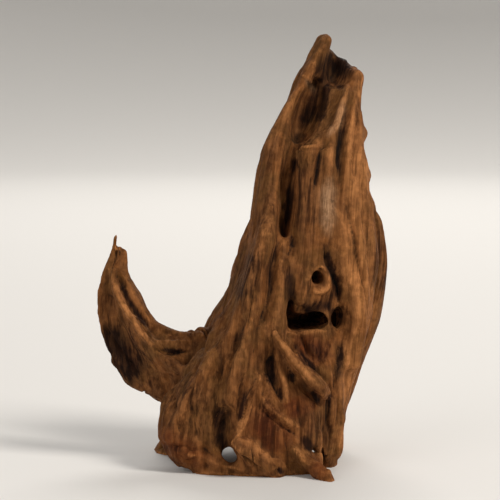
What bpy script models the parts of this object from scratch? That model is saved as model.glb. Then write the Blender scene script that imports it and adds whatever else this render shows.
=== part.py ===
"""A weathered piece of yati driftwood, standing on worn feet.

The wood is one solid. It is laid up as a bundle of root strands, each a closed tube with an oval
section that changes along a smooth path. A voxel remesh fuses the bundle, and hollows, slots and
bores are cut from it. A noise drawn out along the height makes the surface uneven, the creases
are worn round, and the feet are cut flat on the floor.
Lengths in the tables are millimetres: X to the right, Y away from the front, Z up.
"""

import math

import bmesh
import bpy
from mathutils import Vector

MM = 0.001

# The middle of the wood's box in the tables' X and Y, which the finished wood has at its origin
BOX_CENTRE = (-3.4, -2.2)

# The block under the floor that flattens the feet
FLOOR_DEPTH = 20.0
FLOOR_REACH = 200.0

# Strands: corners round a section, and sections from one station to the next
SIDES = 20
STEPS_PER_STATION = 6

# The surface: cell of the voxel remesh, rounding of creases, and faces kept at the end
UNION_VOXEL = 1.3
WORN_FACTOR = 0.5
WORN_PASSES = 4
FINAL_TRIANGLES = 11000

# The noise: full range, size across, and how much longer it is along the height
SWELL = 4.4
SWELL_SIZE = 17.0
SWELL_STRETCH = 2.6

WOOD_COLOUR = (0.20, 0.085, 0.035, 1.0)
WOOD_ROUGHNESS = 0.75

# Each station of a strand is (x, y, z, half width, half depth) of its oval section. The half
# width lies across the path as seen from the front.
STRANDS = {
    "spar": [
        (-20, -15, 30, 9, 9),
        (-14, -14, 48, 9, 10),
        (-6, -13, 71, 8, 9),
        (0.5, -9, 95, 6.5, 8),
        (4, -4, 117, 5.4, 7),
        (9, 1, 139, 5.2, 6.5),
        (17.5, 7, 157, 4.6, 6),
        (26, 13, 173, 4, 5),
        (32, 17, 184, 3.6, 4.2),
        (35.5, 19, 192, 2.1, 2.8),
    ],
    "left_flank": [
        (-40, -10, 12, 8, 9),
        (-35, -10, 26, 10, 11),
        (-24, -10, 38, 11, 12),
        (-14, -10, 51, 11, 12),
        (-5, -9, 70, 9, 11),
        (1, -7, 88, 6, 8),
    ],
    "front_flank": [
        (-20, -20, -6, 13, 12),
        (-18, -19, 20, 13, 13),
        (-12, -17, 42, 12, 12),
        (-5, -13, 64, 9, 11),
        (0, -9, 86, 7, 9),
    ],
    "lobe": [
        (-20, -22, 6, 9, 9),
        (-33, -18, 11, 8, 9),
        (-42, -13, 17, 5, 8),
    ],
    "central": [
        (-3, -20, 5, 10, 12),
        (-1, -19, 25, 10, 12),
        (3, -15, 49, 8, 11),
        (7, -11, 72, 7, 10),
        (10, -7, 95, 5, 9),
        (13, -2, 117, 4, 8),
    ],
    "skirt": [
        (4, -31, -6, 20, 4.5),
        (4, -31, 12, 20, 4.5),
        (7, -29, 26, 17, 4.5),
        (10, -26, 38, 13, 4.5),
        (10, -22, 50, 9, 5),
    ],
    "skirt_lip": [
        (-5, -25, 43, 2.5, 5),
        (-12, -29, 30, 3, 5),
        (-16, -33, 18, 3, 4),
        (-11, -36, 11, 3, 3.5),
        (-4, -37, 5, 3, 3),
        (6, -37, 1, 3, 3),
    ],
    "column": [
        (48, 13, 177, 2.5, 3.5),
        (47, 12, 168, 4.8, 6),
        (46, 9, 158, 4.6, 7),
        (46, 7, 150, 5, 7.5),
        (45, 5.5, 141, 5, 8.5),
        (46, 4, 131, 7, 9),
        (46.5, 2.5, 121, 7, 9.5),
        (47, 1, 111, 8, 10),
        (47, -1, 86, 8, 11),
        (44, -3, 61, 8, 11),
        (37, -5, 36, 7, 10),
        (30, -9, 14, 6, 10),
        (28, -13, -6, 6, 10),
    ],
    "right_flank": [
        (48, 17, 134, 3, 7),
        (54, 19, 112, 5, 10),
        (57, 20, 90, 6, 12),
        (54, 22, 64, 7, 12),
        (46, 26, 38, 7, 12),
        (39, 31, 14, 8, 13),
        (36, 34, -6, 10, 14),
    ],
    "mid_plate": [
        (40, 15, 180, 4, 4),
        (38, 13, 168, 7, 5),
        (32, 5, 150, 8, 6.5),
        (26, -3, 130, 10, 8),
        (24, -7, 108, 11, 9),
        (23, -9, 87, 11, 9),
        (21, -11, 72, 9, 7),
    ],
    "nose": [
        (16, -8, 100, 3, 6),
        (17, -14, 84, 5, 6),
        (18, -17, 71, 4, 4),
    ],
    "pale_ridge": [
        (42, 9, 170, 2.5, 4),
        (37, 0, 155, 3.2, 5),
        (31, -8, 136, 4, 5),
        (29, -12, 118, 4.2, 5),
        (29, -13, 100, 3, 4),
    ],
    "column_ridge": [
        (46, 6, 160, 3, 4),
        (41, -2, 143, 3.5, 4),
        (43, -8, 114, 4, 4),
        (46, -11, 84, 4.5, 4),
        (44, -13, 62, 4.5, 4),
        (41, -14, 43, 4, 4),
    ],
    "recess_plate": [
        (22, -8, 68, 16, 7),
        (22, -12, 54, 15, 7),
        (24, -16, 38, 13, 7),
        (24, -18, 20, 12, 7),
        (24, -18, 4, 12, 7),
    ],
    "rib": [
        (3, -22, 62, 2.6, 4),
        (7, -27, 56, 2.3, 4),
        (15, -30, 47, 2.1, 4),
        (23, -31, 38.5, 2.1, 4),
        (29, -29, 31, 1.8, 3.5),
    ],
    "core": [
        (4, 9, 46, 15, 13),
        (8, 8, 58, 22, 17),
        (13, 7, 78, 23, 18),
        (20, 7, 100, 21, 16),
        (26, 9, 125, 17, 13),
        (31, 14, 150, 13, 11),
        (37, 19, 168, 9, 8),
        (42, 21, 181, 3, 3),
    ],
    "left_heel": [
        (-2, 11, 80, 7, 11),
        (-10, 15, 60, 9, 12),
        (-19, 20, 42, 8, 12),
        (-26, 26, 22, 7, 13),
        (-31, 31, 6, 9, 14),
        (-34, 33, -6, 11, 15),
    ],
    "wing": [
        (-16, 2, 34, 16, 10),
        (-30, 8, 36, 13, 7),
        (-41, 14, 40, 12, 5.5),
        (-50, 19, 47, 12, 4.5),
        (-57, 23, 57, 12, 4),
        (-61, 26, 70, 10, 3.5),
        (-63, 28, 83, 6, 3),
        (-61, 29, 95, 3, 2.5),
        (-60, 30, 103, 2, 2),
    ],
    "wing_front_rim": [
        (-24, -8, 43, 4, 4),
        (-33, -3, 43, 2.6, 3),
        (-39, 1, 46, 2.4, 3),
        (-43.5, 4, 50, 2.4, 3),
        (-50, 8, 60, 2.4, 3),
        (-56, 12, 69, 2.4, 3),
        (-60, 17, 78, 2.2, 3),
        (-62, 22, 87, 2, 2.5),
    ],
    "wing_back_rim": [
        (-22, 10, 56, 4, 5),
        (-33, 12, 56, 3, 4),
        (-40, 15, 57.5, 3, 4),
        (-45, 18, 61, 2.8, 3),
        (-52, 22, 71, 2.6, 3),
        (-57, 26, 82, 2.4, 3),
        (-57, 29, 96, 3, 3),
    ],
    "spur": [
        (10, -34, 11, 3.5, 4),
        (17, -39, 5.5, 3, 4),
        (23, -47, 0, 3, 4),
        (26, -54, -5, 2.6, 4),
    ],
    "column_bed": [
        (41, 4, 150, 5, 7),
        (38, -1, 128, 6, 7),
        (36, -4, 106, 7, 8),
        (36, -6, 84, 7, 8),
        (35, -7, 68, 6, 7),
    ],
    "wing_finger": [
        (-22, 8, 30, 9, 7),
        (-38, 14, 34, 8, 5),
        (-51, 18, 38, 7, 4),
        (-61, 21, 43, 4, 3),
        (-65, 22, 46, 1.5, 1.5),
    ],
    "front_plate": [
        (21.5, -9, 143, 6.5, 4.5),
        (22, -10, 130, 7, 4.5),
        (21, -12, 112, 6, 4.5),
        (20, -14, 95, 5.5, 4.5),
        (19, -15, 82, 4.5, 4),
    ],
    "back_right": [
        (30, 20, 36, 4, 6),
        (35, 18, 50, 10, 11),
        (40, 16, 68, 12, 13),
        (42, 15, 92, 12, 13),
        (43, 16, 120, 10, 11),
        (44, 18, 146, 8, 9),
        (45, 19, 168, 5, 6),
    ],
    "heel_ridge": [
        (2, 22, 92, 2.5, 4),
        (-6, 25, 68, 3.5, 5),
        (-15, 32, 46, 4, 5),
        (-22, 40, 24, 4, 5),
        (-29, 45, 4, 5, 5),
        (-32, 46, -6, 6, 5),
    ],
    "recess_back": [
        (19, 20, 144, 7, 5),
        (25, 22, 158, 8, 5),
        (32, 26, 171, 8, 4.5),
        (38, 27, 182, 6, 3.5),
    ],
    "edge_knob_high": [
        (49.6, 8, 143.5, 2, 3),
        (51.3, 8, 148, 2.9, 4),
        (49.5, 8.5, 153, 1.5, 2.5),
    ],
    "edge_knob_mid": [
        (51.5, 5, 124.5, 2, 3),
        (53, 5, 129, 2.5, 4),
        (50.5, 5, 134.5, 1.5, 2.5),
    ],
    "edge_knob_top": [
        (48, 12, 168.5, 2, 3),
        (51.2, 12, 173.2, 2.6, 3.5),
        (48.5, 12, 177, 1.5, 2),
    ],
    "wing_curl": [
        (-34, 6, 42, 4, 7),
        (-42, 8, 46, 4, 6),
        (-50, 12, 55, 4, 6),
        (-57, 16, 66, 4, 6),
        (-61, 21, 77, 3, 5),
    ],
    "spar_ridge": [
        (8, -5, 128, 2.2, 2.5),
        (2, -15, 103, 2.6, 3),
        (-4, -20, 86, 3, 3),
        (-7, -24, 72, 3, 3.5),
        (-9, -28, 58, 3, 4),
        (-14, -31, 40, 3, 4),
        (-17, -33, 28, 2, 3),
    ],
    "lobe_ridge": [
        (-40, -19, 14, 3, 4),
        (-38, -21, 26, 3.5, 4),
        (-31, -21, 39, 3, 4),
        (-24, -19, 49, 2.5, 3),
        (-16, -18, 62, 2, 3),
    ],
    "lobe_fill": [
        (-33, -19, 12, 6, 7),
        (-29, -19, 26, 6, 7),
        (-22, -18, 40, 5, 6),
    ],
    "saddle_fill": [
        (-18, 6, 50, 5, 6),
        (-30, 7, 49, 4.5, 5),
        (-38, 9, 50, 4, 5),
        (-44, 13, 54, 3, 4),
    ],
    "right_web": [
        (48, 10, 72, 6, 10),
        (45, 12, 54, 6, 11),
        (42, 14, 38, 5, 10),
        (39, 15, 27, 2.5, 6),
    ],
    "back_root_right": [
        (38, 20, 108, 3, 3),
        (36, 24, 88, 6, 6),
        (33, 29, 66, 8, 7),
        (31, 33, 46, 8.5, 7),
        (28, 36, 24, 5.5, 6),
        (26, 38, 8, 5, 6.5),
        (26, 38, -6, 7, 8),
    ],
    "back_root_left": [
        (8, 16, 104, 3, 3),
        (2, 21, 86, 6, 6),
        (-6, 26, 66, 8, 8),
        (-12, 31, 46, 9.5, 7),
        (-17, 34, 24, 7.5, 6.5),
        (-18, 36, 6, 5.5, 7.5),
        (-17, 38, -6, 7, 9),
    ],
    "right_toe": [
        (43, 34, 30, 4, 5),
        (42, 39, 14, 4.5, 6),
        (41, 42, 2, 5, 6),
        (40, 43, -6, 5.5, 6),
    ],
    "left_toe": [
        (-26, 34, 28, 4, 5),
        (-31, 39, 14, 4.5, 6),
        (-35, 42, 2, 5, 6),
        (-36, 43, -6, 5.5, 6),
    ],
    "back_root_middle": [
        (19, 18, 112, 3, 3),
        (17, 22, 92, 6, 6),
        (14, 27, 70, 8.5, 7),
        (11, 31, 48, 9.5, 6.5),
        (7, 35, 26, 7, 6.5),
        (3, 38, 8, 4.5, 6.5),
        (0, 40, -6, 6, 8),
    ],
    "back_web_left": [
        (0, 26, 72, 5, 5),
        (-3, 31, 50, 6, 5),
        (-5, 34.5, 34, 6, 4.5),
        (-7, 37, 20, 5, 4),
        (-8, 38.5, 12, 2.5, 2.5),
    ],
    "back_web_right": [
        (24, 26, 74, 5, 5),
        (22, 31, 54, 6, 5),
        (20, 34.5, 40, 5.5, 4.5),
        (18, 36.5, 28, 4, 3.5),
        (17, 37.5, 21, 1.8, 2),
    ],
    "right_heel_web": [
        (42, 32, 56, 5, 6),
        (37, 35, 40, 5, 6),
        (34, 37, 26, 4.5, 5),
        (32.5, 39, 15, 2, 3),
    ],
    "middle_toe": [
        (8, 35, 32, 4, 5),
        (10, 39, 16, 4.5, 5.5),
        (13, 43, 3, 4.5, 5.5),
        (14.5, 44, -6, 5, 6),
    ],
    "spar_back": [
        (22, 20, 156, 4, 4.5),
        (30, 23, 172, 4.5, 5),
        (36, 24, 184, 3.5, 4),
    ],
    "inner_root": [
        (10, 14, 62, 9, 9),
        (4, 12, 40, 6, 8),
        (-1, 6, 18, 6, 7),
        (-3, 1, -6, 8, 8),
    ],
    "back_tongue": [
        (24, 20, 82, 8, 8),
        (18, 25, 60, 7, 6),
        (13, 30, 44, 5, 4),
        (11, 33, 34, 1.5, 2),
    ],
    "back_ridge_low": [
        (6, 23, 70, 3, 5),
        (17, 24, 100, 3.5, 6),
        (26, 23, 130, 3, 5),
        (34, 26, 158, 2.5, 4),
    ],
    "back_ridge_mid": [
        (24, 26, 60, 4, 6),
        (31, 28, 90, 4, 6),
        (36, 26, 120, 3.5, 5),
        (41, 26, 150, 3, 4),
        (44, 25, 174, 2.2, 3),
    ],
    "back_ridge_right": [
        (42, 34, 40, 4, 5),
        (50, 33, 70, 4, 5),
        (52, 30, 104, 3.5, 5),
        (49, 27, 140, 3, 4),
        (48, 24, 164, 2, 3),
    ],
    "left_ridge": [
        (-14, 3, 58, 4, 6),
        (-4, 4, 86, 4, 6),
        (4, 7, 112, 3.6, 6),
        (11, 11, 136, 3.2, 5),
        (20, 16, 158, 2.6, 4),
        (28, 20, 174, 1.6, 3),
    ],
    "top_splinter": [
        (44, 18, 160, 4, 5),
        (47, 17, 170, 3.5, 4),
        (49, 16, 178, 2, 3),
    ],
}

# Hollows, slots and bores, cut from the fused bundle. Their stations read as above.
CUTTERS = {
    "top_pocket": [
        (40.5, 10, 187, 4, 12),
        (39.5, 10, 178, 5.5, 14),
        (37, 10, 169.5, 3.5, 12),
    ],
    "upper_recess": [
        (31, 5, 174, 4, 13),
        (26.5, 2, 165, 6, 15),
        (23, 0, 156, 6, 15.5),
        (20, -4, 147, 4.5, 14),
    ],
    "black_slot": [
        (14, -13, 125, 1, 14),
        (12.5, -14, 117, 2.2, 15),
        (11, -16, 108, 2.4, 15),
        (11, -17, 103, 1.2, 12),
    ],
    "knot_hole": [
        (25.5, -30, 83.5, 2.8, 3.7),
        (24.7, -4, 85.5, 2.5, 3.2),
    ],
    "pocket": [
        (11.8, -18, 74, 1.2, 14),
        (12.2, -15, 68.5, 2, 20),
        (14.5, -13, 64.8, 2.9, 25),
        (20, -13, 64.2, 2.9, 25),
        (25.5, -14, 65.3, 3.2, 25),
        (28.6, -15, 66.2, 1.8, 20),
    ],
    "vee_slot": [
        (2, -34, 51, 3, 12),
        (4, -34, 43, 2.2, 12),
        (5, -34, 36, 0.8, 8),
    ],
    "back_hollow": [
        (-2, 20, -8, 20, 13),
        (0, 20, 10, 18, 12),
        (5, 22, 26, 12, 10),
        (9, 24, 36, 6, 7),
        (12, 26, 44, 2, 4),
    ],
    "left_bore": [
        (-17.3, -50, 9.4, 2, 2),
        (-17.1, -33, 9.2, 2, 2),
        (-16.2, -25, 8.2, 3.2, 3.2),
        (-14, -13, 6, 6, 6),
        (-12, 0, 4.5, 8, 8),
        (-8, 25, 4, 10, 10),
    ],
    "left_bore_side": [
        (-15.3, -50, 7.7, 1.8, 1.8),
        (-15.2, -33, 7.6, 1.8, 1.8),
        (-14.4, -22, 7, 3, 3),
    ],
    "right_bore": [
        (20.2, -50, 9.8, 2.2, 2.2),
        (20, -33, 9.6, 2.2, 2.2),
        (20.8, -22, 7.5, 5.5, 5.5),
        (21.5, -5, 5, 7.5, 7.5),
        (21, 10, 4.5, 9, 9),
        (12, 25, 5, 10, 10),
    ],
    "pocket_nook": [
        (35.6, -18, 71.4, 1.1, 14),
        (35.6, -18, 67.4, 2.2, 16),
        (35, -19, 63.6, 1.1, 14),
    ],
    "rib_slot": [
        (14, -34, 41, 2, 9),
        (22, -34, 33, 2.6, 9),
        (28, -32, 25, 1.5, 7),
    ],
    "right_bore_funnel": [
        (16.5, -41, 15, 1, 7),
        (18, -41, 12, 2.2, 8),
        (19.5, -41, 9, 1.6, 8),
    ],
    "rim_gap": [
        (-39, 8, 51.5, 1.4, 5),
        (-44, 10, 57, 1.9, 5),
        (-48, 12, 62, 2.1, 5),
        (-53.5, 14, 71, 2.1, 5),
        (-58, 18, 80, 1.6, 4),
        (-60, 21, 86, 1, 3),
    ],
    "saddle_slot": [
        (-41, -2, 50, 0.8, 7),
        (-36, -3, 48.5, 1.4, 8),
        (-31, -4, 48.5, 1.4, 8),
        (-26, -6, 50, 0.7, 6),
    ],
    "flank_hollow": [
        (-18.5, -36, 10, 2.6, 8),
        (-20, -36, 15, 4, 10),
        (-19.5, -35, 22, 3.4, 9.5),
        (-15.5, -34, 31, 1.5, 8),
    ],
    "bowl_side": [
        (11.5, -23, 92, 1, 5),
        (12.3, -23, 84, 2, 8),
        (12.8, -22, 75, 2.2, 9),
        (12, -21, 68, 2, 9),
    ],
    "foot_groove": [
        (28.5, -36, 37, 1, 8),
        (28.8, -36, 28, 1.5, 9),
        (30, -35, 18, 1.8, 9),
        (29.6, -35, 7, 1.2, 8),
    ],
    "recess_edge": [
        (34.5, -22, 60, 0.8, 8),
        (33.2, -24, 52, 1.6, 9),
        (32.6, -26, 43, 1.4, 9),
    ],
    "back_knot": [
        (12, 46, 97, 6, 4.4),
        (15, 30, 99, 4.2, 3.2),
        (19, 19, 101, 2.4, 2),
    ],
    "back_split": [
        (29, 35, 70, 1, 6),
        (33, 35, 92, 1.8, 9),
        (38, 33, 122, 1.4, 8),
        (42, 32, 146, 0.8, 5),
    ],
}


def smooth_path(stations):
    """Sections along a Catmull-Rom curve through the stations, ends kept."""
    rows = [Vector(station) for station in stations]
    padded = [2 * rows[0] - rows[1], *rows, 2 * rows[-1] - rows[-2]]
    path = []
    for i in range(1, len(padded) - 2):
        a, b, c, d = padded[i - 1 : i + 3]
        for step in range(STEPS_PER_STATION):
            t = step / STEPS_PER_STATION
            path.append(
                0.5
                * (
                    2 * b
                    + (c - a) * t
                    + (2 * a - 5 * b + 4 * c - d) * t * t
                    + (3 * b - a - 3 * c + d) * t**3
                )
            )
    path.append(rows[-1])
    return path


def add_strand(bm, stations):
    """A closed tube along the stations, its oval section facing the front view."""
    path = smooth_path(stations)
    rings = []
    for i, station in enumerate(path):
        before = Vector(path[max(i - 1, 0)][:3])
        after = Vector(path[min(i + 1, len(path) - 1)][:3])
        tangent = (after - before).normalized()
        across = tangent.cross(Vector((0, 1, 0))).normalized()
        deep = across.cross(tangent)
        centre = Vector(station[:3])
        ring = []
        for side in range(SIDES):
            angle = 2 * math.pi * side / SIDES
            offset = across * (station[3] * math.cos(angle)) + deep * (station[4] * math.sin(angle))
            ring.append(bm.verts.new((centre + offset) * MM))
        rings.append(ring)
    for low, high in zip(rings, rings[1:]):
        for side in range(SIDES):
            after = (side + 1) % SIDES
            bm.faces.new((low[side], low[after], high[after], high[side]))
    bm.faces.new(rings[0][::-1])
    bm.faces.new(rings[-1])


def bundle(name, strands):
    """One mesh object holding every strand as its own closed shell."""
    bm = bmesh.new()
    for stations in strands.values():
        add_strand(bm, stations)
    bmesh.ops.translate(bm, vec=(-BOX_CENTRE[0] * MM, -BOX_CENTRE[1] * MM, 0), verts=bm.verts)
    bmesh.ops.recalc_face_normals(bm, faces=bm.faces)
    mesh = bpy.data.meshes.new(name)
    bm.to_mesh(mesh)
    bm.free()
    obj = bpy.data.objects.new(name, mesh)
    bpy.context.scene.collection.objects.link(obj)
    return obj


def helper(obj):
    """Marks a cutter, which is not part of the wood."""
    obj.hide_render = True
    obj.display_type = "WIRE"
    return obj


def floor_block():
    """The block under the floor that flattens the feet."""
    bm = bmesh.new()
    bmesh.ops.create_cube(bm, size=1.0)
    bmesh.ops.scale(bm, vec=(2 * FLOOR_REACH * MM, 2 * FLOOR_REACH * MM, FLOOR_DEPTH * MM), verts=bm.verts)
    bmesh.ops.translate(bm, vec=(0, 0, -FLOOR_DEPTH * MM / 2), verts=bm.verts)
    mesh = bpy.data.meshes.new("floor_block")
    bm.to_mesh(mesh)
    bm.free()
    obj = bpy.data.objects.new("floor_block", mesh)
    bpy.context.scene.collection.objects.link(obj)
    return helper(obj)


def voxel_remesh(obj, name, size):
    modifier = obj.modifiers.new(name, "REMESH")
    modifier.mode = "VOXEL"
    modifier.voxel_size = size * MM


def cut(obj, cutter, name):
    modifier = obj.modifiers.new(name, "BOOLEAN")
    modifier.operation = "DIFFERENCE"
    modifier.object = cutter


def swell(obj):
    """Bulges and dips the surface with a noise that is drawn out along the height."""
    grain = bpy.data.objects.new("grain", None)
    grain.location = (-BOX_CENTRE[0] * MM, -BOX_CENTRE[1] * MM, 0)
    grain.scale = (1, 1, SWELL_STRETCH)
    bpy.context.scene.collection.objects.link(grain)
    noise = bpy.data.textures.new("swell", "CLOUDS")
    noise.noise_basis = "IMPROVED_PERLIN"
    noise.noise_scale = SWELL_SIZE * MM
    noise.noise_depth = 1
    modifier = obj.modifiers.new("swell", "DISPLACE")
    modifier.texture = noise
    modifier.texture_coords = "OBJECT"
    modifier.texture_coords_object = grain
    modifier.strength = SWELL * MM
    modifier.mid_level = 0.5


def wood_material():
    material = bpy.data.materials.new("wood")
    material.use_nodes = True
    shader = material.node_tree.nodes["Principled BSDF"]
    shader.inputs["Base Color"].default_value = WOOD_COLOUR
    shader.inputs["Roughness"].default_value = WOOD_ROUGHNESS
    return material


def triangle_count(obj):
    graph = bpy.context.evaluated_depsgraph_get()
    mesh = obj.evaluated_get(graph).to_mesh()
    mesh.calc_loop_triangles()
    count = len(mesh.loop_triangles)
    obj.evaluated_get(graph).to_mesh_clear()
    return count


def driftwood():
    """The fused, hollowed and worn bundle, standing on the floor."""
    hollows = helper(bundle("hollows", CUTTERS))
    voxel_remesh(hollows, "fuse", UNION_VOXEL)
    wood = bundle("yati_wood", STRANDS)
    voxel_remesh(wood, "fuse", UNION_VOXEL)
    cut(wood, hollows, "hollows")
    swell(wood)
    voxel_remesh(wood, "even", UNION_VOXEL)
    worn = wood.modifiers.new("worn", "SMOOTH")
    worn.factor = WORN_FACTOR
    worn.iterations = WORN_PASSES
    thinned = wood.modifiers.new("thinned", "DECIMATE")
    thinned.use_collapse_triangulate = True
    thinned.ratio = FINAL_TRIANGLES / max(triangle_count(wood), FINAL_TRIANGLES)
    cut(wood, floor_block(), "feet")
    wood.data.materials.append(wood_material())
    return wood


def main():
    for obj in list(bpy.data.objects):
        bpy.data.objects.remove(obj)
    driftwood()


main()
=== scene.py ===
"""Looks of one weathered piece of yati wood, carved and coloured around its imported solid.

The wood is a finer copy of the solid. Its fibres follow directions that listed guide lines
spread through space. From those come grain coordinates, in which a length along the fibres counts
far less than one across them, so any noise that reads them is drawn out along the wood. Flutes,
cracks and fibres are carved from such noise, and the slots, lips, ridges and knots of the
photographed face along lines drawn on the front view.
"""

import math

import bmesh
import bpy
import numpy as np
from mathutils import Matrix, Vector


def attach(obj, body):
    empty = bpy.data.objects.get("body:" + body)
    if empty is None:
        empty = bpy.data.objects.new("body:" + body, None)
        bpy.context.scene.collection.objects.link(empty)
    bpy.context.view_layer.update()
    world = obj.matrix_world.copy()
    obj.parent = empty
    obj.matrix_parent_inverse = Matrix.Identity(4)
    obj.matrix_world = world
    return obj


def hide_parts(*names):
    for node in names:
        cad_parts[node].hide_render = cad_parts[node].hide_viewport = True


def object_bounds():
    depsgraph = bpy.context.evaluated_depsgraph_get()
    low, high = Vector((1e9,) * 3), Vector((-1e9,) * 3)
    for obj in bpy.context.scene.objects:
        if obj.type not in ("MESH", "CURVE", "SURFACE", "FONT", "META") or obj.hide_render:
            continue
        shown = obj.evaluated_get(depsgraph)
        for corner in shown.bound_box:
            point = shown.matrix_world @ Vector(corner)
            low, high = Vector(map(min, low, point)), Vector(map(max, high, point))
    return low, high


bl_info = {
    "name": "Yati wood",
    "version": (1, 0, 0),
    "blender": (4, 5, 0),
    "location": "3D View > Sidebar > Wood",
    "description": "Carves and colours one weathered piece of yati wood and sets its stage",
    "category": "Object",
}

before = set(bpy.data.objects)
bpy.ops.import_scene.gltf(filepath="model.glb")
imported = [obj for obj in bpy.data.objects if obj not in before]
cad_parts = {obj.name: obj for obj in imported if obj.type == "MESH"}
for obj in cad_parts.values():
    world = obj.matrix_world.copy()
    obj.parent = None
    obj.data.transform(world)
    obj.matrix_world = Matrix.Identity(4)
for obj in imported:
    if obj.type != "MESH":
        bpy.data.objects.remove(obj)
CAD_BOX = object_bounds()

MM = 0.001
NODE = "yati_wood"

# The drawings below are in millimetres: X to the right, Y away from the viewer, Z up. This is how
# far their origin is from the origin of the frame, and where the eye of the photograph is in them.
DRAWN_FROM = np.array((-3.4, -2.2, 0.0))
EYE = np.array((-164.0, -1007.0, 191.0))

# Guide lines that the fibres follow, each from the foot upwards
GUIDES = {
    "spar": [(-20, -15, 30), (-14, -14, 48), (-6, -13, 71), (1, -9, 95), (5, -4, 117),
        (10, 1, 139), (18, 7, 157), (26, 13, 173), (34, 18, 190)],
    "left flank": [(-40, -14, 8), (-35, -14, 26), (-24, -14, 38), (-14, -13, 51),
        (-5, -10, 70), (1, -6, 90)],
    "front flank": [(-24, -24, -4), (-19, -24, 20), (-12, -22, 42), (-4, -18, 64), (3, -12, 90)],
    "centre": [(-3, -26, 2), (-1, -24, 25), (3, -22, 49), (8, -18, 72), (11, -12, 95),
        (13, -6, 117)],
    "skirt left": [(-8, -36, 2), (-12, -33, 16), (-6, -30, 30), (2, -26, 42), (6, -22, 52)],
    "skirt right": [(22, -36, -4), (18, -32, 12), (16, -28, 26), (10, -24, 40)],
    "rib": [(32, -26, 26), (24, -29, 38), (15, -28, 47), (7, -25, 56), (3, -22, 64)],
    "mid plate": [(19, -16, 68), (22, -16, 87), (24, -14, 108), (27, -9, 130), (33, -1, 150),
        (39, 8, 168), (44, 13, 182)],
    "column": [(28, -18, -4), (31, -18, 14), (38, -15, 36), (44, -14, 61), (47, -12, 86),
        (46, -9, 111), (45, -4, 134), (46, 3, 152), (49, 12, 174)],
    "right side": [(38, 30, -4), (42, 26, 22), (50, 22, 50), (58, 18, 84), (56, 16, 112),
        (51, 15, 138), (49, 16, 164)],
    "wing top": [(-16, -8, 36), (-28, -4, 45), (-36, 1, 48), (-42, 5, 53), (-50, 9, 61),
        (-57, 14, 71), (-62, 20, 82), (-60, 29, 102)],
    "wing foot": [(-12, 2, 26), (-26, 6, 28), (-40, 11, 32), (-50, 15, 36), (-60, 20, 46),
        (-66, 26, 66), (-62, 29, 96)],
    "heel": [(-34, 42, -4), (-30, 38, 10), (-25, 31, 26), (-18, 25, 44), (-8, 20, 64),
        (4, 16, 88)],
    "back low": [(8, 32, 36), (8, 27, 60), (14, 26, 86), (22, 25, 114), (30, 26, 142),
        (37, 27, 164)],
    "back right": [(34, 40, -4), (40, 36, 24), (47, 35, 54), (51, 33, 86), (51, 30, 116),
        (49, 27, 144), (47, 25, 168)],
    "left side": [(-22, 8, 44), (-12, 6, 62), (-4, 6, 86), (4, 8, 112), (12, 12, 136),
        (22, 17, 160), (32, 20, 180)],
    "inner root": [(-3, 1, -4), (-1, 6, 18), (4, 12, 40), (10, 14, 62)],
    "under": [(10, 0, 10), (12, 4, 30), (16, 8, 52)],
}
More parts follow.
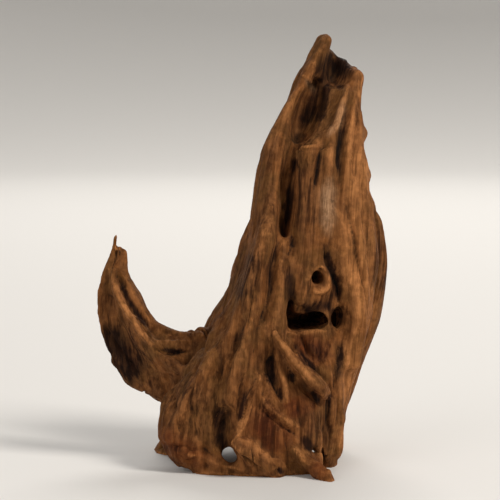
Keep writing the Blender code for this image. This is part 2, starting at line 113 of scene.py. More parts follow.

# Lines drawn on the front, as (kind, half width, amount, points in X and Z). A groove sinks, a
# ridge rises, and a lip is the edge of an overlapping sheet, raised on the right of the line's
# direction and sunk on its left; their amount is a height in millimetres. The other kinds are
# tints, and their amount is a share from 0 to 1. The dark tint is painted shade: it darkens
# slots, pockets, recesses, the side of the flank and the wing's underside where shade falls. The
# warm tint is the wood's own orange together with painted highlights on lit ridges, rims and the
# right column. Pale and red are the wood's own colours.
TOP = [
    ("ridge", 1.6, 1.2, (28, 187), (20, 173), (11, 159), (4, 146), (1, 136)),
    ("groove", 0.9, 1, (29, 181), (22, 169), (15, 157), (9, 146), (6, 134), (5, 118)),
    ("groove", 1, 1.3, (17, 155), (12, 145), (10, 135), (9, 126), (7, 117)),
    ("lip", 1.2, 1.1, (25, 166), (22.5, 169.5), (19, 173)),
    ("pale", 1.1, 0.8, (20, 172.5), (24.5, 167)),
    ("groove", 1.3, 2, (15.5, 150), (15, 142), (14.6, 135), (14, 129)),
    ("dark", 1.6, 0.9, (15, 138), (14.3, 131)),
    ("dark", 6, 0.95, (38, 186), (36, 179), (31, 175)),
    ("dark", 4, 0.5, (37, 172), (33, 169)),
    ("dark", 4, 0.8, (33, 186), (29.5, 179), (27, 172), (28, 164)),
    ("warm", 7, 0.8, (45, 150), (45, 136), (45, 122), (44, 112)),
    ("dark", 2.2, 0.75, (51, 151), (51.5, 143)),
    ("dark", 7, 0.47, (21, 140), (21, 122), (20, 104)),
    ("warm", 2.2, 0.8, (47, 176), (45, 170), (44, 163)),
    ("dark", 3, 0.92, (30, 173), (28, 163), (25, 152)),
    ("dark", 3.4, 0.82, (26, 170), (22, 159), (18.5, 151)),
    ("dark", 3.5, 0.5, (20, 148), (15, 146)),
    ("dark", 2.2, 0.9, (14, 127), (12.5, 118), (11, 107)),
    ("ridge", 1.7, 1.8, (39, 169), (36.5, 162), (34.8, 155), (33, 151), (29, 147.5), (24, 144.5)),
    ("pale", 1.6, 0.8, (37, 163), (34.6, 153), (30, 148)),
    ("warm", 1.8, 0.8, (28, 146), (23, 143)),
    ("groove", 1.3, 2.6, (38.5, 160), (37.5, 152), (36.5, 144), (35, 137), (35.3, 128)),
    ("dark", 1.6, 0.75, (37.5, 155), (36.5, 147), (34.6, 138), (35.5, 129)),
    ("ridge", 1.7, 1.5, (42, 166), (41, 155), (39.5, 145), (38.7, 135), (37.5, 124), (37, 112)),
    ("warm", 2.4, 0.9, (41, 160), (40, 147), (39, 136), (37.5, 124)),
    ("groove", 0.9, 1.3, (42.8, 160), (42.4, 149), (42, 137), (42.5, 128)),
    ("ridge", 1.4, 1.1, (45, 158), (44.5, 146), (45, 134), (48, 122)),
    ("groove", 1.4, 2.2, (28, 143), (26.5, 137), (25.5, 131), (24, 124)),
    ("dark", 2, 0.7, (27.5, 141), (26, 136), (24.5, 127)),
    ("ridge", 2, 1.2, (31, 144), (31, 137), (30.5, 130)),
    ("warm", 2.2, 0.7, (31, 142), (31, 133)),
    ("groove", 1, 1.4, (33.6, 133), (33, 126), (33, 119), (32.5, 113)),
    ("groove", 0.9, 0.9, (19, 141), (20.5, 134), (19.5, 127), (20, 116)),
    ("lip", 1, 1.2, (28.5, 143), (22, 142.5), (15.5, 142)),
    ("groove", 0.9, 1, (27, 125), (26.5, 115), (26.6, 106)),
    ("pale", 3.4, 0.95, (30.5, 128), (29.8, 118), (30, 105)),
]

MIDDLE = [
    ("ridge", 2.2, 1.4, (4, 116), (1, 104), (-2, 94), (-6, 82), (-10, 70), (-14, 60)),
    ("groove", 1.1, 1.7, (13.6, 104), (13.4, 99), (12, 94)),
    ("dark", 1.3, 0.85, (13.4, 104), (13.2, 98)),
    ("groove", 1.5, 2.3, (9, 104), (6, 97), (4, 88), (4, 80), (2, 72), (-1, 62), (-3, 52)),
    ("dark", 1.8, 0.55, (7, 101), (4, 90), (4, 80), (2.5, 74)),
    ("warm", 1.1, 0.6, (6.5, 82), (5.5, 75)),
    ("groove", 1, 1.5, (-1, 92), (-3, 82), (-5, 72), (-7, 63)),
    ("groove", 1.2, 1.9, (-7, 71), (-10, 63), (-13, 55), (-15, 49)),
    ("dark", 1.3, 0.6, (-9, 65), (-12, 57), (-14.5, 50)),
    ("groove", 1, 1.3, (-15, 66), (-19, 58), (-22, 51)),
    ("ridge", 2, 1.3, (9, 92), (8, 82), (7.5, 73), (6, 64), (6, 58)),
    ("groove", 0.9, 1.2, (1, 70), (2, 62), (2, 55)),
    ("warm", 2.4, 0.5, (4, 66), (4, 58)),
    ("ridge", 1.2, 1.5, (21.5, 80), (20.8, 84), (23, 88), (27, 89.3), (30.5, 87), (31, 81),
     (28, 78), (23, 78)),
    ("warm", 1.2, 0.8, (29, 88), (30.4, 84), (30.2, 80.5), (27, 78.6), (22, 79.5)),
    ("groove", 0.9, 2, (26.3, 89.5), (26.2, 86)),
    ("groove", 1.7, 3.4, (28.6, 99), (30.2, 92), (32.2, 86), (34, 80), (35, 72)),
    ("dark", 2.2, 1, (28.8, 98.5), (30.4, 91.5), (32.6, 85), (34, 79), (34.6, 72)),
    ("dark", 2.4, 0.6, (28, 75), (32, 77), (34, 74)),
    ("dark", 2.4, 0.88, (12.6, 89), (12.8, 79), (13, 70)),
    ("dark", 4, 0.8, (14, 65), (20, 65.5), (27, 66.5)),
    ("dark", 2.6, 0.9, (35.5, 69), (35.3, 66)),
    ("ridge", 2.4, 1.7, (33, 117), (34.5, 106), (36.5, 97), (38.5, 88), (41, 80), (43.5, 73),
     (44, 64), (40, 57)),
    ("warm", 7, 0.85, (44, 122), (42, 108), (42, 95), (43, 82), (45, 70), (42, 58)),
    ("warm", 3, 0.95, (36, 100), (38.5, 90), (41, 80), (44, 71), (42, 61), (38, 54)),
    ("dark", 2.8, 0.9, (32.6, 72), (32.8, 62)),
    ("dark", 3.6, 0.85, (17, 70.5), (23, 71), (28, 72), (33, 72)),
    ("dark", 3.2, 0.55, (36.5, 73), (36.8, 62)),
    ("groove", 1.4, 1.7, (38, 116), (41, 104), (42.5, 94), (45, 84), (48, 74), (48.5, 63)),
    ("groove", 1.3, 1.8, (46, 114), (48, 103), (49, 92), (50, 82), (51, 72)),
    ("dark", 1.8, 0.45, (47, 108), (48.5, 97), (50, 84), (52, 76)),
    ("dark", 5, 0.28, (20, 98), (20, 76)),
    ("dark", 6, 0.6, (-2, 98), (-6, 85), (-9, 73)),
    ("dark", 6, 0.42, (53, 108), (55, 92), (54, 74)),
    ("ridge", 1.3, 1.5, (12, 60.6), (17, 59.6), (22, 60.6), (29, 60.4)),
    ("warm", 1.2, 0.7, (18, 60), (23, 60.4)),
]

SKIRT = [
    ("ridge", 1.4, 1.1, (3, 62), (7, 57), (12, 49.5), (18, 43), (22.5, 38), (26, 33)),
    ("warm", 1.9, 0.75, (5, 60), (9, 54), (13, 48), (18, 43), (23, 38)),
    ("groove", 1.3, 2.6, (10.5, 60), (15, 53), (20, 47.5), (26, 41)),
    ("dark", 1.7, 0.8, (12, 57.5), (17, 50.5), (24, 43)),
    ("groove", 1.4, 2.6, (10, 46), (14, 39.5), (20, 35), (25, 29.5)),
    ("dark", 1.5, 0.9, (11, 44), (12, 39)),
    ("dark", 1.8, 0.95, (20, 36), (24, 30)),
    ("ridge", 1.3, 1.5, (3.5, 53), (6, 45), (8.5, 38), (9.5, 31)),
    ("groove", 1.8, 3.4, (1.5, 53), (2, 45), (4, 39), (7, 31)),
    ("dark", 2.6, 1, (1.5, 52), (2, 44), (3.5, 38)),
    ("dark", 1.1, 0.8, (5.5, 38), (7.5, 31)),
    ("dark", 5.5, 0.62, (17, 57), (24, 53), (29, 50)),
    ("red", 6, 1, (15, 58), (22, 54), (28, 50)),
    ("groove", 0.9, 0.9, (17, 59), (18, 50)),
    ("groove", 0.9, 1, (25, 59), (25, 47)),
    ("groove", 1.3, 2.4, (34, 59), (33.2, 50), (32.5, 41), (31, 34)),
    ("dark", 1.7, 0.8, (34, 58), (33.2, 48), (32, 38)),
    ("lip", 1.7, 2.5, (-4, 3), (-11, 8), (-14.8, 13), (-13, 18), (-10, 25), (-8, 31), (-4, 41)),
    ("dark", 1.3, 0.85, (-12, 22), (-10, 30), (-8, 38)),
    ("warm", 1.6, 0.7, (-13, 14), (-12, 19), (-8, 27)),
    ("ridge", 1.5, 1.2, (-12, 14), (-7, 13), (-2, 9), (3, 5)),
    ("warm", 2, 0.7, (-11, 14), (-5, 12), (0, 8), (4, 5)),
    ("groove", 1.2, 1.7, (-11, 8.5), (-7, 4.5), (-3, 0)),
    ("ridge", 1, 1.3, (2, 5.4), (6, 5), (9, 1.5), (11, -1.5)),
    ("groove", 1.5, 2.8, (5.5, 2.5), (7, 0), (8, -3)),
    ("dark", 1.5, 0.95, (5.6, 2), (7.5, -1.5)),
    ("ridge", 1.5, 1.5, (-4, 36), (0, 29.5), (5, 25.5), (10, 22), (15, 19.5)),
    ("warm", 1.4, 0.9, (9, 22.5), (13, 20.5)),
    ("groove", 1.1, 1.8, (-1, 27), (4, 22.5), (9, 19), (14, 16)),
    ("dark", 9, 0.47, (-6, 31), (1, 22), (2, 8)),
    ("dark", 8, 0.47, (13, 34), (20, 22), (20, 10)),
    ("groove", 0.9, 1.2, (3, 24), (3.6, 14), (3, 8)),
    ("groove", 0.9, 1, (8, 19), (9, 12), (10, 5)),
    ("groove", 0.9, 1, (14.5, 30), (15.5, 22), (16, 17)),
    ("groove", 0.9, 1, (21, 32), (22, 23), (23, 15)),
    ("groove", 1.3, 2.3, (29, 38), (28, 29), (28, 22), (29, 14)),
    ("dark", 1.2, 0.75, (29, 35), (28, 25)),
    ("ridge", 1.2, 1, (11.5, 12), (14.5, 7), (18.5, 2.5)),
    ("warm", 1.1, 0.6, (13, 11), (17, 6)),
    ("ridge", 1.3, 1, (23, 18), (25.5, 11), (28, 4), (29, -4)),
    ("dark", 2.8, 0.9, (16.5, 16), (19, 11.5), (20.5, 8.5)),
    ("dark", 1.8, 0.5, (29, 5), (30, -3)),
    ("ridge", 1.5, 1.2, (35, 26), (35, 16), (33.5, 5)),
    ("warm", 4.2, 0.8, (39, 62), (39, 50), (38, 40), (36, 30)),
    ("warm", 2.4, 0.95, (37, 60), (37.5, 50), (37.5, 40), (37, 33)),
    ("warm", 2, 0.9, (35, 18), (34, 8)),
    ("red", 9, 1, (13, 34), (17, 24)),
    ("red", 8, 1, (-8, 16), (2, 22), (6, 6)),
    ("red", 7, 0.7, (22, 4), (26, -4)),
]

FLANK = [
    ("groove", 1.5, 2.6, (-9, 43), (-10, 35), (-12, 27), (-15, 19), (-17, 12)),
    ("groove", 2.4, 2.4, (-20, 11), (-20.5, 17), (-20, 24), (-18, 31)),
    ("dark", 3.8, 0.85, (-18, 8), (-19.8, 16), (-20, 24), (-19, 31)),
    ("dark", 2.6, 0.4, (-21, 26), (-22, 36)),
    ("groove", 1.1, 1.9, (-12, 60), (-15, 51), (-17, 43)),
    ("groove", 1.2, 1.5, (-28, 52), (-32, 44), (-35, 36)),
    ("ridge", 2.2, 1.4, (-10, 58), (-13, 48), (-16, 38), (-19, 28)),
    ("warm", 2, 0.35, (-13, 52), (-16, 40)),
    ("ridge", 2.2, 1.3, (-22, 54), (-26, 42), (-28, 32), (-29, 20)),
    ("groove", 1.4, 1.8, (-19, 50), (-22, 40), (-23, 31), (-23, 22)),
    ("dark", 1.5, 0.5, (-20, 46), (-22, 41)),
    ("groove", 1.3, 1.5, (-32, 40), (-33, 30), (-31, 20), (-29, 12)),
    ("groove", 1.2, 1.3, (-41, 38), (-40, 26), (-37, 16)),
    ("warm", 2.6, 0.5, (-37, 34), (-36, 24)),
    ("warm", 2.6, 0.5, (-29, 26), (-30, 14)),
    ("groove", 0.9, 1.1, (-25, 44), (-26, 34)),
    ("groove", 1.6, 1.6, (-45, 13), (-40, 11.5), (-36, 12), (-33, 9.5), (-28, 10.5), (-24, 7.5)),
    ("dark", 2.2, 0.5, (-46, 12), (-40, 11), (-36, 11)),
    ("ridge", 1.5, 1.2, (-34, 8), (-26, 5.5), (-18, 2.5), (-8, 0)),
    ("dark", 11, 0.36, (-36, 44), (-34, 28), (-30, 12)),
    ("red", 5, 0.8, (-46, 22), (-43, 14), (-32, 8), (-22, 4)),
]

WING = [
    ("ridge", 1.2, 1.5, (-44, 55), (-37, 53.5), (-29, 54.5)),
    ("groove", 1.1, 2.4, (-45, 51), (-37, 49.5), (-29, 50)),
    ("dark", 1.3, 0.85, (-43, 51), (-36, 49.7), (-31, 50)),
    ("groove", 1, 1.1, (-41, 58.5), (-34, 57), (-27, 58)),
    ("ridge", 1.3, 1.9, (-66, 88), (-63, 78), (-58, 69), (-53, 61), (-48, 54)),
    ("warm", 1.7, 1, (-64, 82), (-58, 69), (-53, 61), (-47, 53)),
    ("groove", 1.4, 3, (-62, 84), (-58, 75), (-53.5, 67), (-49, 60), (-45, 55)),
    ("dark", 1.6, 0.97, (-61, 83), (-57, 74), (-52, 66), (-47, 59)),
    ("ridge", 1.1, 1.4, (-60, 86), (-55, 75), (-50, 67), (-46, 61)),
    ("warm", 1.3, 0.8, (-58, 82), (-54, 73), (-49, 65)),
    ("groove", 1.5, 2, (-66, 76), (-60, 65), (-55, 57), (-49, 49), (-44, 43)),
    ("dark", 8.5, 0.85, (-70, 64), (-62, 52), (-56, 44), (-50, 36)),
    ("groove", 1.3, 1.4, (-68, 62), (-61, 52), (-53, 42)),
]

# The eye of the photograph sees each list of lines on an upright plane, at the first Y, and they
# reach the points between the second Y and the third
DRAWINGS = [
    (-12, -30, 28, TOP),
    (-14, -40, 26, MIDDLE),
    (-25, -60, -3, SKIRT),
    (-22, -60, 2, FLANK),
    (8, -14, 44, WING),
]

# Fibres: spacing of points on a guide, how wide it rules, the grid's cell and its margin in cells,
# how much a length along the fibres is shortened, and the solver's rounds
GUIDE_SPACING = 4.0
GUIDE_REACH = 4.0
GRID_CELL = 4.0
GRID_MARGIN = 2
GRAIN_STRETCH = 14.0
SOLVER_ROUNDS = 220

# Drawn lines: the range of their wander and its noise as (size, seed), how many half widths they
# reach, the share of their length that tapers at an end, and what is left there of their width
# and of their amount
LINE_WANDER = 0.9
WANDER_NOISE = (4.5, 91)
LINE_REACH = 6.0
LINE_TAPER = 0.22
END_WIDTH = 0.6
END_SHARE = 0.45

# Profiles of lines: half the ramp of a lip and the fall of its raised side, in half widths, how
# far its other side sinks, and the power that ends a tint
LIP_EDGE = 0.5
LIP_FALL = 3.0
LIP_SINK = 0.5
TINT_POWER = 2.4

# Tints that the drawings give, and the one that comes with each millimetre of a height: painted
# shade along a groove and painted highlight along a ridge
TINTS = ("dark", "warm", "pale", "red")
HEIGHT_TINTS = {"groove": ("dark", 0.16), "ridge": ("warm", 0.22)}

# Turn to the front, as a cosine, over which the drawn heights and the drawn tints come in, and
# over which the relief of the whole wood gets weaker by a share, to leave the front to the lines
LINE_TURN = (-0.2, 0.3)
TINT_TURN = (-0.5, 0.1)
CALM_TURN = (-0.4, 0.3)
FRONT_CALM = 0.56

# Noise: points before it repeats, a turn that hides its lattice, and the seed's step between layers
NOISE_PERIOD = 64
TILT, SPIN = 0.9, 0.6
NOISE_TURN = np.array([
    [math.cos(SPIN), -math.sin(SPIN), 0.0],
    [math.sin(SPIN) * math.cos(TILT), math.cos(SPIN) * math.cos(TILT), -math.sin(TILT)],
    [math.sin(SPIN) * math.sin(TILT), math.cos(SPIN) * math.sin(TILT), math.cos(TILT)],
])
LAYER_SEED = 7

# Relief of the whole wood, in millimetres: (size across the fibres, seed) of its noises, and the
# height of folds; (size, layers, seed) of knobs and of the bends of the fibres, and their ranges;
# and the depth of cracks
PATCHES = (16.0, 11)
FLUTES = (10.0, 31, 4.6)
RIBS = (4.2, 41, 1.7)
FIBRES = (1.8, 51, 0.45)
CRACKED = (13.0, 71)
CRACKS = (13.0, 73)
KNOBS = (11.0, 2, 61)
BENDS = ((24.0, 2, 21), (24.0, 2, 22), (24.0, 2, 23))
KNOB_RANGE = 1.2
BEND_RANGE = 5.0
CRACK_DEPTH = 2.6

# What is taken off a fold so that it also sinks, noise over which patches of ribs come in and the
# ribs' share outside them, noise over which the wood gets cracked and how much more a length counts
# in it, and the fold at a crack's edge and floor
FOLD_MIDDLE = 0.35
PATCH_NOISE = (0.35, 0.65)
RIB_LEAST = 0.35
CRACKED_NOISE = (0.43, 0.56)
CRACKED_ALONG = 0.2
CRACK_FOLD = (0.1, 0.0)

# Skin: distance in metres at which loose triangles join, rounds of smoothing for facets, normals
# and near and wide surroundings, triangles kept, and heights up to which points stay on the floor
# and from which they are carved in full
JOIN_DISTANCE = 1e-6
FACET_ROUNDS = 8
NORMAL_ROUNDS = 4
NEAR_ROUNDS = 5
WIDE_ROUNDS = 70
KEPT_TRIANGLES = 194000
FLOOR_SNAP = 0.3
FOOT_RISE = 4.0

# Crowding: cell of its grid, cells of margin and of half the blur, how far in front of the skin it
# is read, and the flood's steps between two counts of its cells
CROWD_CELL = 1.5
CROWD_MARGIN = 10
CROWD_HALF = 2
CROWD_REACH = 2.5
FLOOD_STEPS = 12

# Crowding over which the relief comes in on thin parts, and goes again in narrow holes
THIN_CROWDING = (0.02, 0.16)
CALM_CROWDING = (0.4, 0.6)

# Streaks and blotches: (size in millimetres, noise at which they begin, noise at which they are
# full), and the settings of their noises
BROAD_STREAKS = (6.0, 0.38, 0.62)
MIDDLE_STREAKS = (1.8, 0.36, 0.64)
FINE_STREAKS = (0.55, 0.3, 0.7)
HAIR_STREAKS = (0.22, 0.3, 0.7)
PATCH_BLOTCHES = (14.0, 0.42, 0.62)
SPOT_BLOTCHES = (3.2, 0.38, 0.62)
STREAK_NOISE = {"Detail": 4.0, "Roughness": 0.6}
BLOTCH_NOISE = {"Detail": 3.0, "Roughness": 0.55}

# Coats of colour: the most that one covers, or what it covers off and on the streaks that vary it,
# and the heights in millimetres or the crowding over which it comes in. The warm coat is partly
# painted highlight, and the dip, hollow and crowded coats are painted shade in dips, hollows and
# narrow places.
WORN_SHARE = 0.3
OLIVE_SHARE = 0.5
RED_SHARES = (1.0, 0.7)
WARM_AND_HIGHLIGHT_SHARES = (0.5, 1.0)
PALE_SHARES = (0.5, 1.0)
RUBBED_HEIGHTS, RUBBED_SHARES = (0.08, 0.45), (0.2, 0.7)
DIP_SHADE_HEIGHTS, DIP_SHADE_SHARE = (-0.08, -0.55), 0.8
HOLLOW_SHADE_HEIGHTS, HOLLOW_SHADE_SHARE = (-0.4, -2.8), 0.85
SHADE_CROWDING, CROWDED_SHADE_SHARE = (0.46, 0.74), 0.97

# Shades that multiply the colour: the fine streaks and the spots vary the wood's tone, and the
# last pair is the painted shade of the drawn dark tint, down to near black; then the shift that
# streaks give the dark tint, and the tint over which its painted shade comes in
FINE_SHADES = ((0.84, 0.82, 0.79), (1.08, 1.08, 1.08))
SPOT_SHADES = ((0.76, 0.73, 0.7), (1.12, 1.12, 1.12))
PAINTED_SHADE_COLOURS = ((1.0, 1.0, 1.0), (0.12, 0.09, 0.07))
PAINTED_SHADE_SHIFTS = (0.14, -0.14)
PAINTED_SHADE_TINTS = (0.08, 0.9)

# Surface: roughness off and on the streaks, specular level, and shares in the height of the fibres
WOOD_ROUGHNESS = (0.88, 0.68)
WOOD_SPECULAR = 0.14
FINE_RELIEF = 0.7
HAIR_RELIEF = 0.3

# Numbers of the Mix node's sockets for colours, which share their names with others
MIX_SHARE, MIX_FIRST, MIX_SECOND, MIX_RESULT = 0, 6, 7, 2

# Stage: floor and its far rise, lights as (name, place, size, share of the power, colour), and how
# near the camera sees
BOWL_FLAT = 2.2
BOWL_TURN = 1.6
BOWL_RISE = 60.0
BOWL_SIDES = 96
BOWL_RINGS = 24
FLOOR_ROUGHNESS = 0.8
WORLD_COLOUR = (1.0, 0.98, 0.95, 1.0)
WORLD_LIGHT = 0.32
LIGHTS = [
    ("key", (1.5, -1.3, 2.1), 0.8, 1.0, (1.0, 0.96, 0.91)),
    ("fill", (-1.9, -1.4, 0.9), 1.8, 0.26, (0.98, 0.98, 1.0)),
    ("back", (0.5, 1.9, 1.6), 1.2, 0.5, (1.0, 0.98, 0.95)),
]
CLIP_START = 0.01


def smooth_step(low, high, value):
    """0 up to low, 1 from high on, and 3t^2 - 2t^3 between them. Low may be the larger one."""
    t = np.clip((value - low) / (high - low), 0.0, 1.0)
    return t * t * (3.0 - 2.0 * t)


def unit(vectors):
    """Each vector divided by its length."""
    return vectors / np.maximum(np.linalg.norm(vectors, axis=-1, keepdims=True), 1e-9)


def blend_lattice(lattice, cell, part):
    """Values between lattice points: a cell's eight corners, weighted by part along each axis."""
    size = np.array(lattice.shape[:3])
    corners = (cell % size, (cell + 1) % size)
    total = 0.0
    for corner in range(8):
        pick = [(corner >> axis) & 1 for axis in range(3)]
        index = tuple(corners[pick[axis]][:, axis] for axis in range(3))
        weight = np.ones(len(cell))
        for axis in range(3):
            weight = weight * (part[:, axis] if pick[axis] else 1.0 - part[:, axis])
        value = lattice[index]
        total = total + (weight[:, None] * value if value.ndim == 2 else weight * value)
    return total


def noise(points, size, seed):
    """Random numbers from 0 to 1 on a lattice of that size, blended by 6t^5 - 15t^4 + 10t^3."""
    lattice = np.random.default_rng(seed).random((NOISE_PERIOD,) * 3)
    turned = points @ NOISE_TURN.T / size + seed
    cell = np.floor(turned).astype(np.int64)
    part = turned - cell
    part = part**3 * (part * (6.0 * part - 15.0) + 10.0)
    return blend_lattice(lattice, cell, part)


def layered_noise(points, size, layers, seed):
    """A sum of noises, each of half the size and half the weight of the one before, from 0 to 1."""
    total = 0.0
    weight = 0.0
    for layer in range(layers):
        share = 0.5**layer
        total = total + share * noise(points, size * share, seed + LAYER_SEED * layer)
        weight += share
    return total / weight


def curve_points(stations, spacing):
    """Points about that far apart on a Catmull-Rom curve through the stations."""
    rows = np.array(stations, float)
    padded = np.vstack([2 * rows[0] - rows[1], rows, 2 * rows[-1] - rows[-2]])
    pieces = []
    for a, b, c, d in zip(padded, padded[1:], padded[2:], padded[3:]):
        count = max(int(np.linalg.norm(c - b) / spacing), 1)
        t = (np.arange(count) / count)[:, None]
        square = 2 * a - 5 * b + 4 * c - d
        cube = 3 * b - a - 3 * c + d
        pieces.append(0.5 * (2 * b + (c - a) * t + square * t**2 + cube * t**3))
    return np.vstack([*pieces, rows[-1:]])


def spread_directions(points):
    """The fibres' unit direction at each point: the guides' tangents, summed with the weights
    1 / (distance^2 + reach^2)^2."""
    total = np.zeros_like(points)
    for stations in GUIDES.values():
        curve = curve_points(stations, GUIDE_SPACING)
        tangents = unit(np.diff(curve, axis=0))
        for middle, tangent in zip((curve[1:] + curve[:-1]) / 2, tangents):
            square = ((points - middle) ** 2).sum(-1, keepdims=True)
            total += tangent / (square + GUIDE_REACH**2) ** 2
    return unit(total)


def grid_steps(values):
    """The steps from each grid point to the next, along each axis."""
    return [np.diff(values, axis=axis) for axis in range(3)]


def pull_together(steps, shape):
    """At every grid point, the sum of the steps into it minus the sum of the steps out of it."""
    total = np.zeros(shape)
    for axis, step in enumerate(steps):
        into = [slice(None)] * 3
        out = [slice(None)] * 3
        into[axis] = slice(1, None)
        out[axis] = slice(None, -1)
        total[tuple(into)] += step
        total[tuple(out)] -= step
    return total


def grain_grid(low, high):
    """Grain coordinates on a grid round the wood. Across the fibres they grow like distance, and
    along them 1/GRAIN_STRETCH as fast. No exact such coordinates exist where fibres bend, so this
    solves for the grid whose steps come closest in least squares, by conjugate gradients."""
    margin = GRID_MARGIN * GRID_CELL
    axes = [np.arange(a - margin, b + margin, GRID_CELL) for a, b in zip(low, high)]
    nodes = np.stack(np.meshgrid(*axes, indexing="ij"), -1)
    direction = spread_directions(nodes)
    wanted = []
    for axis in range(3):
        count = nodes.shape[axis] - 1
        before = np.take(direction, range(count), axis)
        after = np.take(direction, range(1, count + 1), axis)
        middle = unit(before + after)
        step = -(1.0 - 1.0 / GRAIN_STRETCH) * middle[..., axis : axis + 1] * middle
        step[..., axis] += 1.0
        wanted.append(step * GRID_CELL)
    grain = nodes.copy()
    gap = pull_together(wanted, nodes.shape) - pull_together(grid_steps(grain), nodes.shape)
    search = gap.copy()
    size = (gap * gap).sum()
    for _ in range(SOLVER_ROUNDS):
        pulled = pull_together(grid_steps(search), nodes.shape)
        length = size / max((search * pulled).sum(), 1e-12)
        grain += length * search
        gap -= length * pulled
        fresh = (gap * gap).sum()
        search = gap + fresh / max(size, 1e-12) * search
        size = fresh
    return nodes[0, 0, 0], grain


def grain_at(grid, points):
    """The grid's grain coordinates at the points, linear between grid points."""
    start, grain = grid
    place = (points - start) / GRID_CELL
    cell = np.clip(np.floor(place).astype(np.int64), 0, np.array(grain.shape[:3]) - 2)
    return blend_lattice(grain, cell, np.clip(place - cell, 0.0, 1.0))


def neighbour_mean(values, edges, rounds):
    """Every value replaced by the mean of itself and its neighbours' mean, that many times."""
    count = len(values)
    share = np.maximum(np.bincount(edges.ravel(), minlength=count), 1)[:, None]
    values = values.reshape(count, -1)
    for _ in range(rounds):
        total = np.empty_like(values)
        for column in range(values.shape[1]):
            v = values[:, column]
            total[:, column] = np.bincount(edges[:, 0], v[edges[:, 1]], count)
            total[:, column] += np.bincount(edges[:, 1], v[edges[:, 0]], count)
        values = (values + total / share) / 2
    return values


def line_reach(flat, points):
    """For each point: distance to a polyline, which side it lies on (+1 right, -1 left), and how
    far along it is, 0 to 1. A point's side is the sign of the cross product with the segment."""
    line = np.array(points, float)
    lengths = np.linalg.norm(np.diff(line, axis=0), axis=1)
    travelled = np.concatenate([[0.0], np.cumsum(lengths)])
    best = np.full(len(flat), np.inf)
    side = np.zeros(len(flat))
    along = np.zeros(len(flat))
    for start, end, length, done in zip(line, line[1:], lengths, travelled):
        step = (end - start) / length
        t = np.clip((flat - start) @ step, 0.0, length)
        offset = flat - (start + t[:, None] * step)
        distance = np.linalg.norm(offset, axis=1)
        nearer = distance < best
        best = np.where(nearer, distance, best)
        side = np.where(nearer, np.sign(offset[:, 0] * step[1] - offset[:, 1] * step[0]), side)
        along = np.where(nearer, (done + t) / travelled[-1], along)
    return best, side, along


def drawn_lines(points, wander):
    """Every line drawn on the front, with the points near it as the eye of the photograph sees
    them: its kind, its amount, those points' numbers, their distance over the half width, their
    side, and the share of the amount they get. Towards its ends a line gets narrower and weaker."""
    for plane, near, far, lines in DRAWINGS:
        picked = np.flatnonzero((points[:, 1] > near) & (points[:, 1] < far))
        ray = points[picked] - EYE
        seen = EYE[[0, 2]] + ray[:, [0, 2]] * ((plane - EYE[1]) / ray[:, 1:2])
        for kind, width, amount, *line in lines:
            reach = LINE_REACH * width
            low = np.min(line, axis=0) - reach
            high = np.max(line, axis=0) + reach
            close = np.flatnonzero(((seen > low) & (seen < high)).all(1))
            distance, side, along = line_reach(seen[close], line)
            place = picked[close]
            inner = smooth_step(0.0, LINE_TAPER, along) * smooth_step(0.0, LINE_TAPER, 1.0 - along)
            d = np.abs(distance + wander[place]) / (width * (END_WIDTH + (1.0 - END_WIDTH) * inner))
            yield kind, amount, place, d, side, END_SHARE + (1.0 - END_SHARE) * inner


def line_wander(grain):
    """How far a drawn line strays at each point, in millimetres."""
    return LINE_WANDER * (noise(grain, *WANDER_NOISE) - 0.5)


def face_relief(points, normals, grain):
    """Height in millimetres of the lines drawn on the front. With d the distance over the half
    width, a groove is -depth exp(-d) and a ridge depth exp(-d^2). A lip is depth exp(-d / LIP_FALL)
    on its right and -LIP_SINK depth exp(-d^2) on its left, with a short ramp between them. All
    fade at their ends and on surfaces that face away from the front."""
    height = np.zeros(len(points))
    facing = smooth_step(*LINE_TURN, -normals[:, 1])
    for kind, depth, place, d, side, fade in drawn_lines(points, line_wander(grain)):
        if kind == "groove":
            rise = -depth * np.exp(-d)
        elif kind == "ridge":
            rise = depth * np.exp(-d * d)
        elif kind == "lip":
            up = smooth_step(-LIP_EDGE, LIP_EDGE, side * d)
            rise = depth * (up * np.exp(-d / LIP_FALL) - LIP_SINK * (1.0 - up) * np.exp(-d * d))
        else:
            continue
        height[place] += rise * fade * facing[place]
    return height


def face_tints(points, normals, grain):
    """The share of each tint at each point: amount exp(-d^TINT_POWER) for a drawn tint, with d the
    distance over the half width, and exp(-d^2) for the painted shade in a groove and the painted
    highlight along a ridge.
    They fade at their ends and on surfaces that face away from the front."""
    tints = {name: np.zeros(len(points)) for name in TINTS}
    facing = smooth_step(*TINT_TURN, -normals[:, 1])
    for kind, amount, place, d, _, fade in drawn_lines(points, line_wander(grain)):
        if kind in TINTS:
            name = kind
            share = amount * np.exp(-(d**TINT_POWER)) * fade
        elif kind in HEIGHT_TINTS:
            name, tint = HEIGHT_TINTS[kind]
            share = tint * amount * np.exp(-d * d) * fade
        else:
            continue
        tints[name][place] = np.maximum(tints[name][place], share * facing[place])
    return tints


def folds(values):
    """|2v - 1|, which is round on top and has a sharp valley wherever the noise passes one half."""
    return np.abs(2.0 * values - 1.0)


def fold_height(points, size, seed, height):
    """The height of folds of that size, which sink too."""
    return height * (folds(noise(points, size, seed)) - FOLD_MIDDLE)


